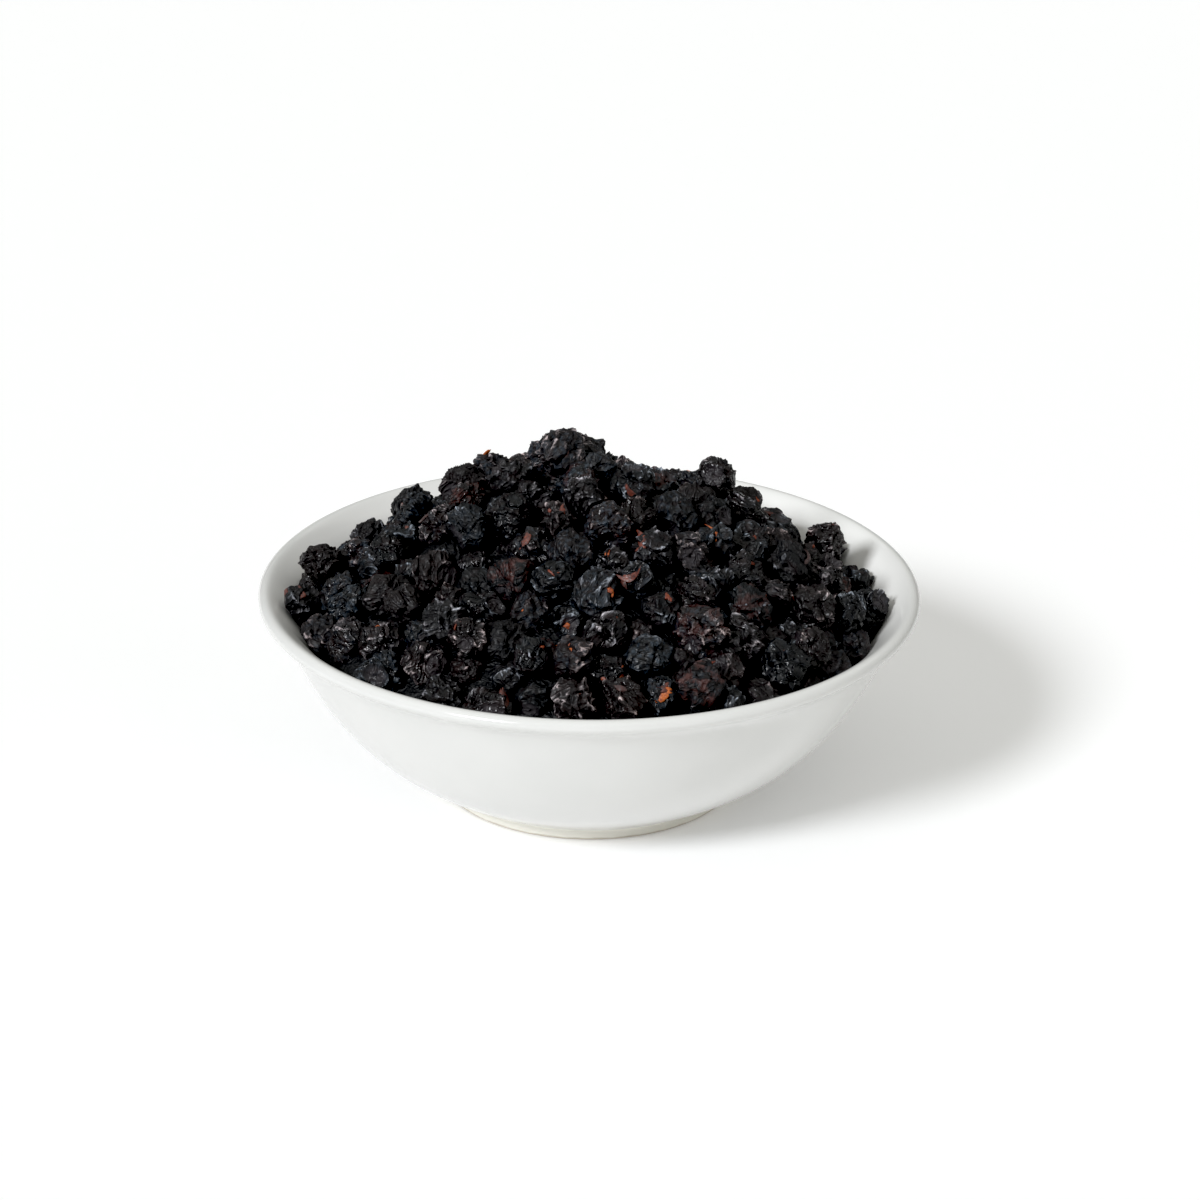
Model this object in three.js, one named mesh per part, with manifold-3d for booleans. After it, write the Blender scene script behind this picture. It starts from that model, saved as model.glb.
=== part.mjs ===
// A white glazed bowl heaped with dried blueberries. Millimetres, +Z up.
// The origin is the centre of the bowl's foot, on the surface that the bowl stands on.
import * as THREE from "three";
import { mergeVertices } from "three/addons/utils/BufferGeometryUtils.js";
import Module from "manifold-3d";

// The bowl: its rim, the rolled lip with the neck under it, and the foot ring
const RIM_RADIUS = 60;
const LIP = { radius: 1.5, height: 36.9, from: -130, to: 150, steps: 7 };
const FOOT = { radius: 27.2, inner: 24.2, height: 2.7, rounding: 0.5, recess: 2.1 };

// The outside of the wall, as a curve from the neck under the lip down to the foot
const WALL_CURVE = [
  { radius: 57.4, height: 35.2 },
  { radius: 53.4, height: 31.2 },
  { radius: 50.9, height: 12.7 },
  { radius: 28.7, height: FOOT.height },
];
const WALL_THICKNESS = { atNeck: 2.5, atFoot: 4.2 };
const FLOOR = { radius: 18, height: 5.85, centre: 5.7 };
const WALL_STEPS = 8;
const BOWL_SIDES = 64;

// The heap: its berries, and the mound that their tops reach
const BERRY = { radius: 4.1, spread: 0.16, count: 380 };
const WIDTHS = { least: 0.92, range: 0.2 };
const LENGTHS = { least: 0.8, range: 0.22 };
const MOUND = { height: 25.6, radius: 53.4, x: -1.6, y: -4, base: 38.9 };

// The mound's peaks, and its dips, whose heights are below 0
const PEAKS = [
  { x: -3.4, y: 7, height: 2.4, width: 10 },
  { x: 23, y: 7, height: 3.6, width: 8 },
  { x: -30, y: 9, height: 1.2, width: 9 },
  { x: 43, y: 11, height: 2, width: 7 },
  { x: -36.5, y: 18, height: -3.5, width: 5 },
  { x: -39, y: 28, height: -4.5, width: 8 },
  { x: -46, y: 14, height: -2, width: 4 },
  { x: -37.3, y: 7.6, height: -3, width: 4.5 },
  { x: 52, y: 5, height: -5, width: 7 },
  { x: 8, y: 17, height: -1.5, width: 5 },
  { x: 15.5, y: 16, height: -1.5, width: 5 },
  { x: 33, y: 20, height: -1.5, width: 4.5 },
];

// Berries that stand out of the mound's outline, and how far their tops rise above it
const STANDING = [
  { x: -7.3, y: 9, rise: 0.4 },
  { x: -5, y: 2, rise: 2.4 },
  { x: -1.2, y: 9, rise: 0.3 },
  { x: -18, y: 12, rise: 1.7 },
  { x: -23, y: 6, rise: 1.6 },
  { x: -33, y: 15, rise: 1.7 },
  { x: -48.3, y: 2, rise: 1.7 },
  { x: -40.3, y: 13, rise: -0.4 },
  { x: 23, y: 9, rise: 1.3 },
  { x: 28, y: 14, rise: 0.3 },
  { x: 43, y: 12, rise: 1 },
  { x: 50, y: -4, rise: -0.3 },
];

// How the berries settle: within the wall, in a layer under the mound, pressed into each other a little
const WALL_LINE = { radius: 56.3, height: 37, slope: 0.576 };
const LAYER = { depth: 11.5, highest: 0.6, lowest: -2.4 };
const NESTING = 0.93;
const ROUNDS = 70;
const PULL = { length: 0.12, rounds: 58 };
const SLOPE_STEP = 1;
const SEED = 314;

// The fused heap: which berries it shows, the core under them and the room that it keeps to
const SHOWN_DEPTH = 5;
const BERRY_SIDES = 6;
const WRINKLE = 0.08;
const CORE = { depth: 5.9, radius: 58.3, sides: 24, rings: 6 };
const ROOM = { gap: 0.45, steps: 5, height: 90 };

// The outline of a berry from its stem end to the pit in its crown, in berry radii
const BERRY_OUTLINE = [
  { radius: 0, height: -0.88 },
  { radius: 0.93, height: -0.36 },
  { radius: 0.92, height: 0.36 },
  { radius: 0.38, height: 0.92 },
  { radius: 0, height: 0.58 },
];

const PORCELAIN = { color: 0xf3f3f1, roughness: 0.16, metalness: 0 };
const DRIED_SKIN = { color: 0x17161c, roughness: 0.62, metalness: 0 };

const wasm = await Module();
wasm.setup();

// Random numbers from 0 to 1, the same on every run.
function makeRandom(seed) {
  const [factor, step, modulus] = [1664525, 1013904223, 4294967296];
  let state = seed;
  return () => {
    state = (state * factor + step) % modulus;
    return state / modulus;
  };
}

// A geometry with its shared vertices merged, which makes it a closed mesh.
function welded(geometry) {
  geometry.deleteAttribute("normal");
  geometry.deleteAttribute("uv");
  return mergeVertices(geometry, 1e-4);
}

// A closed mesh as a solid.
function solidOf(mesh) {
  return new wasm.Manifold(
    new wasm.Mesh({
      numProp: 3,
      vertProperties: mesh.attributes.position.array,
      triVerts: new Uint32Array(mesh.index.array),
    }),
  );
}

// A solid as a geometry with flat faces.
function geometryOf(solid) {
  const mesh = solid.getMesh();
  const geometry = new THREE.BufferGeometry();
  geometry.setAttribute("position", new THREE.BufferAttribute(mesh.vertProperties, 3));
  geometry.setIndex(new THREE.BufferAttribute(mesh.triVerts, 1));
  const faceted = geometry.toNonIndexed();
  faceted.computeVertexNormals();
  return faceted;
}

// A profile of radius and height turned round the Z axis.
function turned(profile, sides) {
  const points = profile.map(({ radius, height }) => new THREE.Vector2(radius, height));
  return new THREE.LatheGeometry(points, sides).rotateX(Math.PI / 2);
}

const outerWall = new THREE.CubicBezierCurve(
  ...WALL_CURVE.map(({ radius, height }) => new THREE.Vector2(radius, height)),
);

// The outside of the wall from the foot up to the neck.
function outsidePoints() {
  return outerWall
    .getPoints(WALL_STEPS)
    .reverse()
    .map(({ x, y }) => ({ radius: x, height: y }));
}

// The inside of the wall from the neck down to the foot: the outside set in by the thickness and a gap.
function insidePoints(steps, gap = 0) {
  return Array.from({ length: steps + 1 }, (_, i) => {
    const share = i / steps;
    const thickness = THREE.MathUtils.lerp(WALL_THICKNESS.atNeck, WALL_THICKNESS.atFoot, share);
    const tangent = outerWall.getTangent(share);
    const point = outerWall.getPoint(share);
    return {
      radius: point.x + tangent.y * (thickness + gap),
      height: point.y - tangent.x * (thickness + gap),
    };
  });
}

// Points round the rolled lip, from the neck outside to the inside.
function lipPoints() {
  return Array.from({ length: LIP.steps + 1 }, (_, i) => {
    const angle = THREE.MathUtils.degToRad(THREE.MathUtils.lerp(LIP.from, LIP.to, i / LIP.steps));
    return {
      radius: RIM_RADIUS - LIP.radius + LIP.radius * Math.cos(angle),
      height: LIP.height + LIP.radius * Math.sin(angle),
    };
  });
}

// The bowl in one piece, with a recess inside its foot ring.
function makeBowl() {
  const profile = [
    { radius: 0, height: FOOT.recess },
    { radius: FOOT.inner - FOOT.rounding, height: FOOT.recess },
    { radius: FOOT.inner, height: FOOT.rounding },
    { radius: FOOT.inner + FOOT.rounding, height: 0 },
    { radius: FOOT.radius - FOOT.rounding, height: 0 },
    { radius: FOOT.radius, height: FOOT.rounding },
    { radius: FOOT.radius, height: FOOT.height - FOOT.rounding },
    ...outsidePoints(),
    ...lipPoints(),
    ...insidePoints(WALL_STEPS),
    { radius: FLOOR.radius, height: FLOOR.height },
    { radius: 0, height: FLOOR.centre },
  ];
  return turned(profile, BOWL_SIDES);
}

// Height of the heap's berry tops over a point of the bowl.
function moundTop(x, y) {
  const dx = x - MOUND.x;
  const dy = y - MOUND.y;
  const share = Math.sqrt(dx * dx + dy * dy) / MOUND.radius;
  let height = MOUND.base + MOUND.height * (1 - share * Math.sqrt(share));
  for (const peak of PEAKS) {
    const px = (x - peak.x) / peak.width;
    const py = (y - peak.y) / peak.width;
    const near = 1 + px * px + py * py;
    height += peak.height / (near * near);
  }
  return height;
}

// How far out from the axis a berry's centre can lie at a height.
function centreLimit(height, radius) {
  const below = Math.max(0, WALL_LINE.height - height);
  return WALL_LINE.radius - WALL_LINE.slope * below - radius;
}

// Two numbers inside the unit circle, with the square of their distance from its centre.
function drawInCircle(random) {
  for (;;) {
    const a = 2 * random() - 1;
    const b = 2 * random() - 1;
    const square = a * a + b * b;
    if (square < 1) return [a, b, square];
  }
}

function drawRadius(random) {
  return BERRY.radius * (1 + BERRY.spread * (2 * random() - 1));
}

// The berries that stand out of the outline, then the others, scattered in the layer under it.
function scatterBerries(random) {
  const berries = STANDING.map(({ x, y, rise }) => {
    const radius = drawRadius(random);
    return { x, y, z: moundTop(x, y) + rise - radius, radius, standing: true };
  });
  while (berries.length < BERRY.count) {
    const [a, b] = drawInCircle(random);
    const radius = drawRadius(random);
    const x = a * (WALL_LINE.radius - radius);
    const y = b * (WALL_LINE.radius - radius);
    const rise = LAYER.highest - (LAYER.highest - LAYER.lowest) * random();
    const z = moundTop(x, y) - radius - LAYER.depth * random();
    berries.push({ x, y, z, radius, rise, standing: false });
  }
  return berries;
}

// Moves a berry off another that it presses into too deep. A standing berry stays where it is.
function pushApart(berry, other) {
  const dx = berry.x - other.x;
  const dy = berry.y - other.y;
  const dz = berry.z - other.z;
  const reach = (berry.radius + other.radius) * NESTING;
  const square = dx * dx + dy * dy + dz * dz;
  if (square >= reach * reach) return;
  const distance = Math.sqrt(square);
  let push = (reach - distance) / distance;
  if (!other.standing) {
    push /= 2;
    other.x -= dx * push;
    other.y -= dy * push;
    other.z -= dz * push;
  }
  berry.x += dx * push;
  berry.y += dy * push;
  berry.z += dz * push;
}

// Draws a berry in, square to the mound's surface, and keeps it in the layer and inside the wall.
function drawIn(berry, pull) {
  const top = moundTop(berry.x, berry.y);
  const slopeX = top - moundTop(berry.x + SLOPE_STEP, berry.y);
  const slopeY = top - moundTop(berry.x, berry.y + SLOPE_STEP);
  const length = Math.sqrt(1 + slopeX * slopeX + slopeY * slopeY);
  berry.x -= (pull * slopeX) / length;
  berry.y -= (pull * slopeY) / length;
  berry.z -= pull / length;
  const limit = centreLimit(berry.z, berry.radius);
  const out = Math.sqrt(berry.x * berry.x + berry.y * berry.y);
  if (out > limit) {
    berry.x *= limit / out;
    berry.y *= limit / out;
  }
  const highest = moundTop(berry.x, berry.y) - berry.radius;
  berry.z = Math.max(Math.min(berry.z, highest + berry.rise), highest - LAYER.depth);
}

// Gives a berry its own turn and stretch, and notes how deep it lies under the mound's surface.
function shapeBerry(berry, random) {
  const [a, b, ab] = drawInCircle(random);
  const [c, d, cd] = drawInCircle(random);
  const turn = Math.sqrt((1 - ab) / cd);
  berry.turn = [a, b, c * turn, d * turn];
  berry.stretch = [
    WIDTHS.least + WIDTHS.range * random(),
    WIDTHS.least + WIDTHS.range * random(),
    LENGTHS.least + LENGTHS.range * random(),
  ];
  berry.depth = moundTop(berry.x, berry.y) - berry.radius - berry.z;
}

// Berries settled against each other in the bowl.
function settleBerries() {
  const random = makeRandom(SEED);
  const berries = scatterBerries(random);
  const loose = berries.slice(STANDING.length);
  for (let round = 0; round < ROUNDS; round++) {
    for (let i = STANDING.length; i < berries.length; i++) {
      for (let j = 0; j < i; j++) pushApart(berries[i], berries[j]);
    }
    for (const berry of loose) drawIn(berry, round < PULL.rounds ? PULL.length : 0);
  }
  for (const berry of berries) shapeBerry(berry, random);
  return berries;
}

// One wrinkled berry with a pitted crown.
function makeBerry(berry, index) {
  const random = makeRandom(SEED + index);
  const mesh = welded(turned(BERRY_OUTLINE, BERRY_SIDES));
  const position = mesh.attributes.position;
  const point = new THREE.Vector3();
  for (let i = 0; i < position.count; i++) {
    point.fromBufferAttribute(position, i).multiplyScalar(1 + WRINKLE * (2 * random() - 1));
    position.setXYZ(i, point.x, point.y, point.z);
  }
  const place = new THREE.Matrix4().compose(
    new THREE.Vector3(berry.x, berry.y, berry.z),
    new THREE.Quaternion(...berry.turn),
    new THREE.Vector3(...berry.stretch).multiplyScalar(berry.radius),
  );
  return solidOf(mesh.applyMatrix4(place));
}

// The packed inside of the heap, which the berries that show stand out of.
function makeCore() {
  const rings = Array.from({ length: CORE.rings + 1 }, (_, i) => ({
    radius: CORE.radius * (1 - i / CORE.rings),
    height: 1,
  }));
  const bottom = [
    { radius: 0, height: 0 },
    { radius: CORE.radius, height: 0 },
  ];
  const mesh = welded(turned([...bottom, ...rings], CORE.sides));
  const position = mesh.attributes.position;
  for (let i = 0; i < position.count; i++) {
    const isTop = position.getZ(i) > 0;
    if (isTop) position.setZ(i, moundTop(position.getX(i), position.getY(i)) - CORE.depth);
  }
  return solidOf(mesh);
}

// The room inside the bowl, a small gap clear of its wall, and open above the rim.
function makeRoom() {
  const wall = insidePoints(ROOM.steps, ROOM.gap).reverse();
  const edge = wall[wall.length - 1].radius;
  const profile = [
    { radius: 0, height: FLOOR.height + ROOM.gap },
    ...wall,
    { radius: edge, height: ROOM.height },
    { radius: 0, height: ROOM.height },
  ];
  return solidOf(welded(turned(profile, CORE.sides)));
}

// The berries that show, fused to the core and to each other in one closed body.
function makeHeap() {
  const shown = settleBerries().filter((berry) => berry.depth < SHOWN_DEPTH);
  const fused = shown.reduce((heap, berry, index) => heap.add(makeBerry(berry, index)), makeCore());
  const bodies = fused.intersect(makeRoom()).decompose();
  bodies.sort((one, other) => other.volume() - one.volume());
  return geometryOf(bodies[0]);
}

// A named piece with its own material.
function makePiece(name, geometry, finish) {
  const mesh = new THREE.Mesh(geometry, new THREE.MeshStandardMaterial(finish));
  mesh.name = name;
  return mesh;
}

const part = new THREE.Group();
part.add(makePiece("bowl", makeBowl(), PORCELAIN));
part.add(makePiece("blueberries", makeHeap(), DRIED_SKIN));

export default part;
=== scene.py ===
"""A white porcelain bowl heaped with dried blueberries. The frame is in metres, +Z up.

Sizes are given in millimetres, in the bowl's own frame, and meshes are scaled to metres when they are made.
The berries settle by the same rule as the solids of the frame, and each gets its own wrinkled skin.
"""
import math
import bmesh
import bpy
import numpy as np
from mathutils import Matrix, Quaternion, Vector


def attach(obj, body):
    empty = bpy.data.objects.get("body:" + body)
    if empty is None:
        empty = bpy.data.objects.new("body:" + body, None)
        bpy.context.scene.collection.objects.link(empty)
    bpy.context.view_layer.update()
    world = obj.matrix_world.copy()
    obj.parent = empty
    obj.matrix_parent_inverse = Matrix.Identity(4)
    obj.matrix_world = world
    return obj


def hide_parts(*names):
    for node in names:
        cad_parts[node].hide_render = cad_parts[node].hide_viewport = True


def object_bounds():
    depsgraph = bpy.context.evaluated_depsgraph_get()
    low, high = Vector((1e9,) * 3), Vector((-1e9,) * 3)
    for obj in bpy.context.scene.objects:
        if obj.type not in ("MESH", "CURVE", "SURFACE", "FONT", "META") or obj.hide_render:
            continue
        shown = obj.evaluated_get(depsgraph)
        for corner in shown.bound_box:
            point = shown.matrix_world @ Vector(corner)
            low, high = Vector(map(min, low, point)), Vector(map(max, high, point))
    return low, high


MM = 0.001

# The photograph's view, in millimetres and degrees
VIEW_TARGET = (1.93, 0.0, 35.0)
VIEW_ELEVATION = 23.3
VIEW_ROLL = 0.55
VIEW_DISTANCE = 700.0
VIEW_LENS, VIEW_SENSOR = 115.8, 36.0
VIEW_NEAREST, VIEW_FURTHEST = 10.0, 20000.0

# Lamps: a soft key from the front left, a wide one overhead and a weak one from the right. Each has
# the direction that it shines from, how wide it looks in degrees, its strength and its tint
LAMPS = {
    "key": ((-34.0, -42.0, 36.0), 15.0, 2.58, (0.98, 1.0, 1.03)),
    "fill": ((-4.0, 14.0, 100.0), 100.0, 1.2, (1.0, 1.0, 0.955)),
    "side": ((80.0, -45.0, 36.0), 60.0, 0.5, (1.0, 1.0, 0.955)),
}
SURROUND = (0.075, 0.0755, 0.073, 1)
BLACK_LEVEL = 0.0098

# The floor: pale, with a faint grain, glowing a little, and just under the foot
FLOOR_SIZE, FLOOR_DROP = 6000.0, 0.02
FLOOR_TONE, FLOOR_GRAIN_TONE = (0.92, 0.92, 0.92, 1.0), (0.9108, 0.9108, 0.9108, 1.0)
FLOOR_PATCHES = (0.8, 2.0), (0.3, 0.7)
FLOOR_GLOW, FLOOR_ROUGHNESS, FLOOR_SPECULAR = 0.13, 0.8, 0.2

# The bowl: its rim, the rolled lip with the neck under it, and the foot ring
RIM_RADIUS = 59.97
LIP_RADIUS = 1.5
LIP_HEIGHT = 36.9
LIP_FROM, LIP_TO = -30.0, 150.0
FOOT_RADIUS, FOOT_INNER = 27.2, 24.2
FOOT_HEIGHT, FOOT_ROUNDING, FOOT_SHOULDER = 2.7, 0.5, 1.1
RECESS_HEIGHT, RECESS_ROUNDING = 2.1, 0.8

# The wall's outside curve from the neck at 0 to the foot at 1, where on it the outside and the inside
# stop under the lip, the wall's thickness, and the base inside
WALL_CURVE = ((57.4, 35.2), (53.4, 31.2), (50.9, 12.7), (28.7, FOOT_HEIGHT))
OUTSIDE_TOP, INSIDE_TOP = 0.03, 0.05
WALL_AT_NECK, WALL_AT_FOOT = 2.5, 4.2
BASE_RADIUS, BASE_HEIGHT, BASE_CENTRE, BASE_RISE = 18.0, 5.85, 5.7, 0.03

# How finely the bowl is made, how often its corners are eased, and over how many points of the lip
# the outside glaze changes to the paler inside colour, which is painted light
BOWL_SIDES = 192
WALL_STEPS, LIP_STEPS, NECK_STEPS, FOOT_STEPS = 30, 18, 4, 5
PROFILE_ROUNDS = 12
INSIDE_LIGHT_CHANGE = 6

# The heap: its berries, and the mound that their tops reach
BERRY_RADIUS, BERRY_SPREAD, BERRY_COUNT = 4.1, 0.16, 380
WIDTH_LEAST, WIDTH_RANGE = 0.92, 0.2
LENGTH_LEAST, LENGTH_RANGE = 0.8, 0.22
MOUND_BASE, MOUND_HEIGHT, MOUND_RADIUS = 38.9, 25.6, 53.4
MOUND_X, MOUND_Y = -1.6, -4.0
# Each peak's x, y, height and width. A height below 0 is a dip
PEAKS = (
    (-3.4, 7, 2.4, 10), (23, 7, 3.6, 8), (-30, 9, 1.2, 9), (43, 11, 2, 7),
    (-36.5, 18, -3.5, 5), (-39, 28, -4.5, 8), (-46, 14, -2, 4), (-37.3, 7.6, -3, 4.5),
    (52, 5, -5, 7), (8, 17, -1.5, 5), (15.5, 16, -1.5, 5), (33, 20, -1.5, 4.5),
)
# Berries that stand out of the mound's outline: x, y and how far their tops rise above it
STANDING = (
    (-7.3, 9, 0.4), (-5, 2, 2.4), (-1.2, 9, 0.3), (-18, 12, 1.7), (-23, 6, 1.6), (-33, 15, 1.7),
    (-48.3, 2, 1.7), (-40.3, 13, -0.4), (23, 9, 1.3), (28, 14, 0.3), (43, 12, 1), (50, -4, -0.3),
)

# How the berries settle: within the wall, in a layer under the mound, pressed into each other a little
WALL_LINE_RADIUS, WALL_LINE_HEIGHT, WALL_LINE_SLOPE = 56.3, 37, 0.576
LAYER_DEPTH, LAYER_HIGHEST, LAYER_LOWEST = 11.5, 0.6, -2.4
NESTING = 0.93
ROUNDS = 70
PULL, PULL_ROUNDS = 0.12, 58
SLOPE_STEP = 1
GAP_TRIES, GAP_DEPTH, GAP_NEAREST = 1500, 6.5, 0.72

# Seeds of the draws: the berries' places and shapes, their looks, and the bits on them. Then what makes
# each number of the settling's own draws from the one before
SEED = 314
LOOK_SEED, BIT_SEED = 7 * SEED, 3 * SEED
DRAW_FACTOR, DRAW_ADDEND, DRAW_SPAN = 1664525, 1013904223, 2**32

# How finely berries are made, by how deep they lie: the most depth, and the sphere's steps
FINENESS = ((3.0, 16), (5.0, 11), (8.0, 7), (math.inf, 4))
MERGE_DIGITS = 5
TINY = 1e-9

# The heap's layers: from and to which depth their berries lie, and how many pieces hold them
LAYERS = {"upper": (-math.inf, 5.0, 8), "lower": (5.0, math.inf, 2)}

# What the heap keeps clear of: the wall, which is followed up to the neck, and the frame's top
WALL_GAP, TOP_GAP = 0.15, 0.02
CAVITY_TOP, CAVITY_STEPS, CAVITY_CEILING = 0.02, 60, 200.0

# The core: its depth under the mound, its rise over the base, its rings, and the ridge value that keeps it
# in the skin's darkest colour, as painted shade in the gaps between the berries
CORE_DEPTH, CORE_RISE, CORE_RADIUS, CORE_SIDES, CORE_RINGS = 9.0, 1.0, 55.0, 96, 24
CORE_SHADE_RIDGE = -1.0

# The map of a piece, with a square and its margin for each berry
BAKE_MAP, MAP_MARGIN = "OFBake", 0.04

# A berry's mesh is finer on its outer side, and a little smaller than the berry that settled
CROWDING, SHRUNK = 0.6, 0.93

# Neighbours count out to a reach. A berry's point touches one at the first share of that one's radius,
# and is clear of it at the second. Between the two, the skin's paler colour fades out as painted shade
SHADE_REACH, SHADE_FROM, SHADE_TO = 1.5, 0.93, 1.3


# Settling

def make_random(seed):
    """Random numbers from 0 to 1, the same on every run."""
    state = seed

    def draw():
        nonlocal state
        state = (state * DRAW_FACTOR + DRAW_ADDEND) % DRAW_SPAN
        return state / DRAW_SPAN

    return draw


def mound_top(x, y):
    """Height of the heap's berry tops over a point of the bowl."""
    dx, dy = x - MOUND_X, y - MOUND_Y
    share = math.sqrt(dx * dx + dy * dy) / MOUND_RADIUS
    height = MOUND_BASE + MOUND_HEIGHT * (1 - share * math.sqrt(share))
    for peak_x, peak_y, rise, width in PEAKS:
        px, py = (x - peak_x) / width, (y - peak_y) / width
        near = 1 + px * px + py * py
        height += rise / (near * near)
    return height


def mound_slopes(x, y):
    """How far the mound falls over one step along X, and over one along Y."""
    top = mound_top(x, y)
    return top - mound_top(x + SLOPE_STEP, y), top - mound_top(x, y + SLOPE_STEP)


def mound_way(x, y):
    """The direction out of the mound's surface."""
    way = np.array([*mound_slopes(x, y), 1.0])
    return way / np.linalg.norm(way)


def draw_in_circle(draw):
    """Two numbers inside the unit circle, with the square of their distance from its centre."""
    while True:
        a = 2 * draw() - 1
        b = 2 * draw() - 1
        square = a * a + b * b
        if square < 1:
            return a, b, square


def draw_radius(draw):
    """A berry's radius."""
    return BERRY_RADIUS * (1 + BERRY_SPREAD * (2 * draw() - 1))


def scatter_berries(draw):
    """The standing berries, then the others, as lists of x, y, z, radius and rise."""
    berries = []
    for x, y, rise in STANDING:
        radius = draw_radius(draw)
        berries.append([x, y, mound_top(x, y) + rise - radius, radius, rise])
    while len(berries) < BERRY_COUNT:
        a, b, _ = draw_in_circle(draw)
        radius = draw_radius(draw)
        x = a * (WALL_LINE_RADIUS - radius)
        y = b * (WALL_LINE_RADIUS - radius)
        rise = LAYER_HIGHEST - (LAYER_HIGHEST - LAYER_LOWEST) * draw()
        z = mound_top(x, y) - radius - LAYER_DEPTH * draw()
        berries.append([x, y, z, radius, rise])
    return berries


def push_apart(berry, other, other_stands):
    """Moves a berry off another that it presses into too deep. A standing berry stays where it is."""
    dx, dy, dz = berry[0] - other[0], berry[1] - other[1], berry[2] - other[2]
    reach = (berry[3] + other[3]) * NESTING
    square = dx * dx + dy * dy + dz * dz
    if square >= reach * reach:
        return
    distance = math.sqrt(square)
    push = (reach - distance) / distance
    if not other_stands:
        push /= 2
    for axis, gap in enumerate((dx, dy, dz)):
        berry[axis] += gap * push
        if not other_stands:
            other[axis] -= gap * push


def pull_in(berry, pull):
    """Pulls a berry in, square to the mound's surface, and keeps it in the layer and inside the wall."""
    x, y, z, radius, rise = berry
    slope_x, slope_y = mound_slopes(x, y)
    length = math.sqrt(1 + slope_x * slope_x + slope_y * slope_y)
    x -= (pull * slope_x) / length
    y -= (pull * slope_y) / length
    z -= pull / length
    deep = max(0, WALL_LINE_HEIGHT - z)
    limit = WALL_LINE_RADIUS - WALL_LINE_SLOPE * deep - radius
    out = math.sqrt(x * x + y * y)
    if out > limit:
        x *= limit / out
        y *= limit / out
    highest = mound_top(x, y) - radius
    berry[0], berry[1] = x, y
    berry[2] = max(min(z, highest + rise), highest - LAYER_DEPTH)


def shape_berry(berry, draw):
    """A settled berry with its own turn and stretch, and how deep it lies under the mound's surface."""
    x, y, z, radius, _ = berry
    a, b, ab = draw_in_circle(draw)
    c, d, cd = draw_in_circle(draw)
    turn = math.sqrt((1 - ab) / cd)
    return {
        "centre": np.array([x, y, z]),
        "radius": radius,
        "turn": np.array(Quaternion((d * turn, a, b, c * turn)).to_matrix()),
        "stretch": np.array([
            WIDTH_LEAST + WIDTH_RANGE * draw(),
            WIDTH_LEAST + WIDTH_RANGE * draw(),
            LENGTH_LEAST + LENGTH_RANGE * draw(),
        ]),
        "depth": mound_top(x, y) - radius - z,
    }


def fill_gaps(berries, draw):
    """Adds berries low in the gaps that the others leave."""
    for _ in range(GAP_TRIES):
        a, b, _ = draw_in_circle(draw)
        radius = draw_radius(draw)
        x, y = a * WALL_LINE_RADIUS, b * WALL_LINE_RADIUS
        berry = [x, y, mound_top(x, y) - radius - GAP_DEPTH, radius, LAYER_LOWEST]
        pull_in(berry, 0)
        near = min(math.dist(berry[:3], other[:3]) / (radius + other[3]) for other in berries)
        if near > GAP_NEAREST:
            berries.append(berry)


def settle_berries():
    """Berries settled against each other in the bowl."""
    draw = make_random(SEED)
    berries = scatter_berries(draw)
    fixed = len(STANDING)
    for turn in range(ROUNDS):
        for i in range(fixed, len(berries)):
            for j in range(i):
                push_apart(berries[i], berries[j], j < fixed)
        for berry in berries[fixed:]:
            pull_in(berry, PULL if turn < PULL_ROUNDS else 0)
    settled = [shape_berry(berry, draw) for berry in berries]
    fill_gaps(berries, draw)
    return settled + [shape_berry(berry, draw) for berry in berries[len(settled):]]


# Random fields and patterns over a sphere

# How many waves a random field has, how much these differ, and how much patterns are drawn out
WAVE_COUNT, WAVE_SPREAD = 9, (0.7, 1.3)
DRAWN_OUT = (0.35, 0.7)


def to_unit(vectors):
    """Vectors brought to a length of 1."""
    return vectors / np.linalg.norm(vectors, axis=1, keepdims=True)


def directions(count, random):
    """Random unit vectors."""
    return to_unit(random.normal(size=(count, 3)))


def waves(points, number, random, count=WAVE_COUNT):
    """A smooth random field over points, mostly from -1.5 to 1.5, of waves with about this wave number."""
    ways = directions(count, random) * number * random.uniform(*WAVE_SPREAD, (count, 1))
    phases = random.uniform(0, 2 * math.pi, count)
    return np.sin(points @ ways.T + phases).sum(1) * math.sqrt(2 / count)


def wobble(points, kind, random):
    """A smooth random field with its wave number and its height."""
    number, reach = kind
    return reach * waves(points, number, random)


def bent(points, kind, random):
    """Points moved about by smooth random fields, so that a pattern over them meanders."""
    number, reach = kind
    return points + reach * np.stack([waves(points, number, random) for _ in range(3)], 1)


def net(points, kind, random):
    """Ridges between the cells of a random net: 1 on a ridge, 0 in the hollow of a cell."""
    counts, power = kind
    seeds = directions(random.integers(*counts), random)
    squares = (points * points).sum(1)[:, None] + 1 - 2 * points @ seeds.T
    near = np.sqrt(np.maximum(np.partition(squares, 1, axis=1)[:, :2], TINY))
    return (2 * near[:, 0] / (near[:, 0] + near[:, 1])) ** power


def lines(points, kind, random):
    """Thin lines that meander over a surface: 1 on a line, falling to 0 beside it."""
    numbers, width = kind
    return np.exp(-(waves(points, random.uniform(*numbers), random) / width) ** 2)


def ridges(points, kind, random):
    """Sharp ridges that meander over a surface: 1 on a ridge's edge, falling to 0 beside it."""
    numbers, width = kind
    return np.exp(-np.abs(waves(points, random.uniform(*numbers), random)) / width)


def pits(points, kind, random):
    """Small round spots at random places: 1 in the middle of each."""
    counts, width = kind
    seeds = directions(random.integers(*counts), random)
    nearest = 2 - 2 * (points @ seeds.T).max(1)
    return np.exp(-np.maximum(nearest, 0) / (width * width))


def drawn_out(points, random):
    """Points brought closer together along a random way, so that a pattern over them is longer that way."""
    grain = directions(1, random)[0]
    return points - random.uniform(*DRAWN_OUT) * np.outer(points @ grain, grain)


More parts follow.
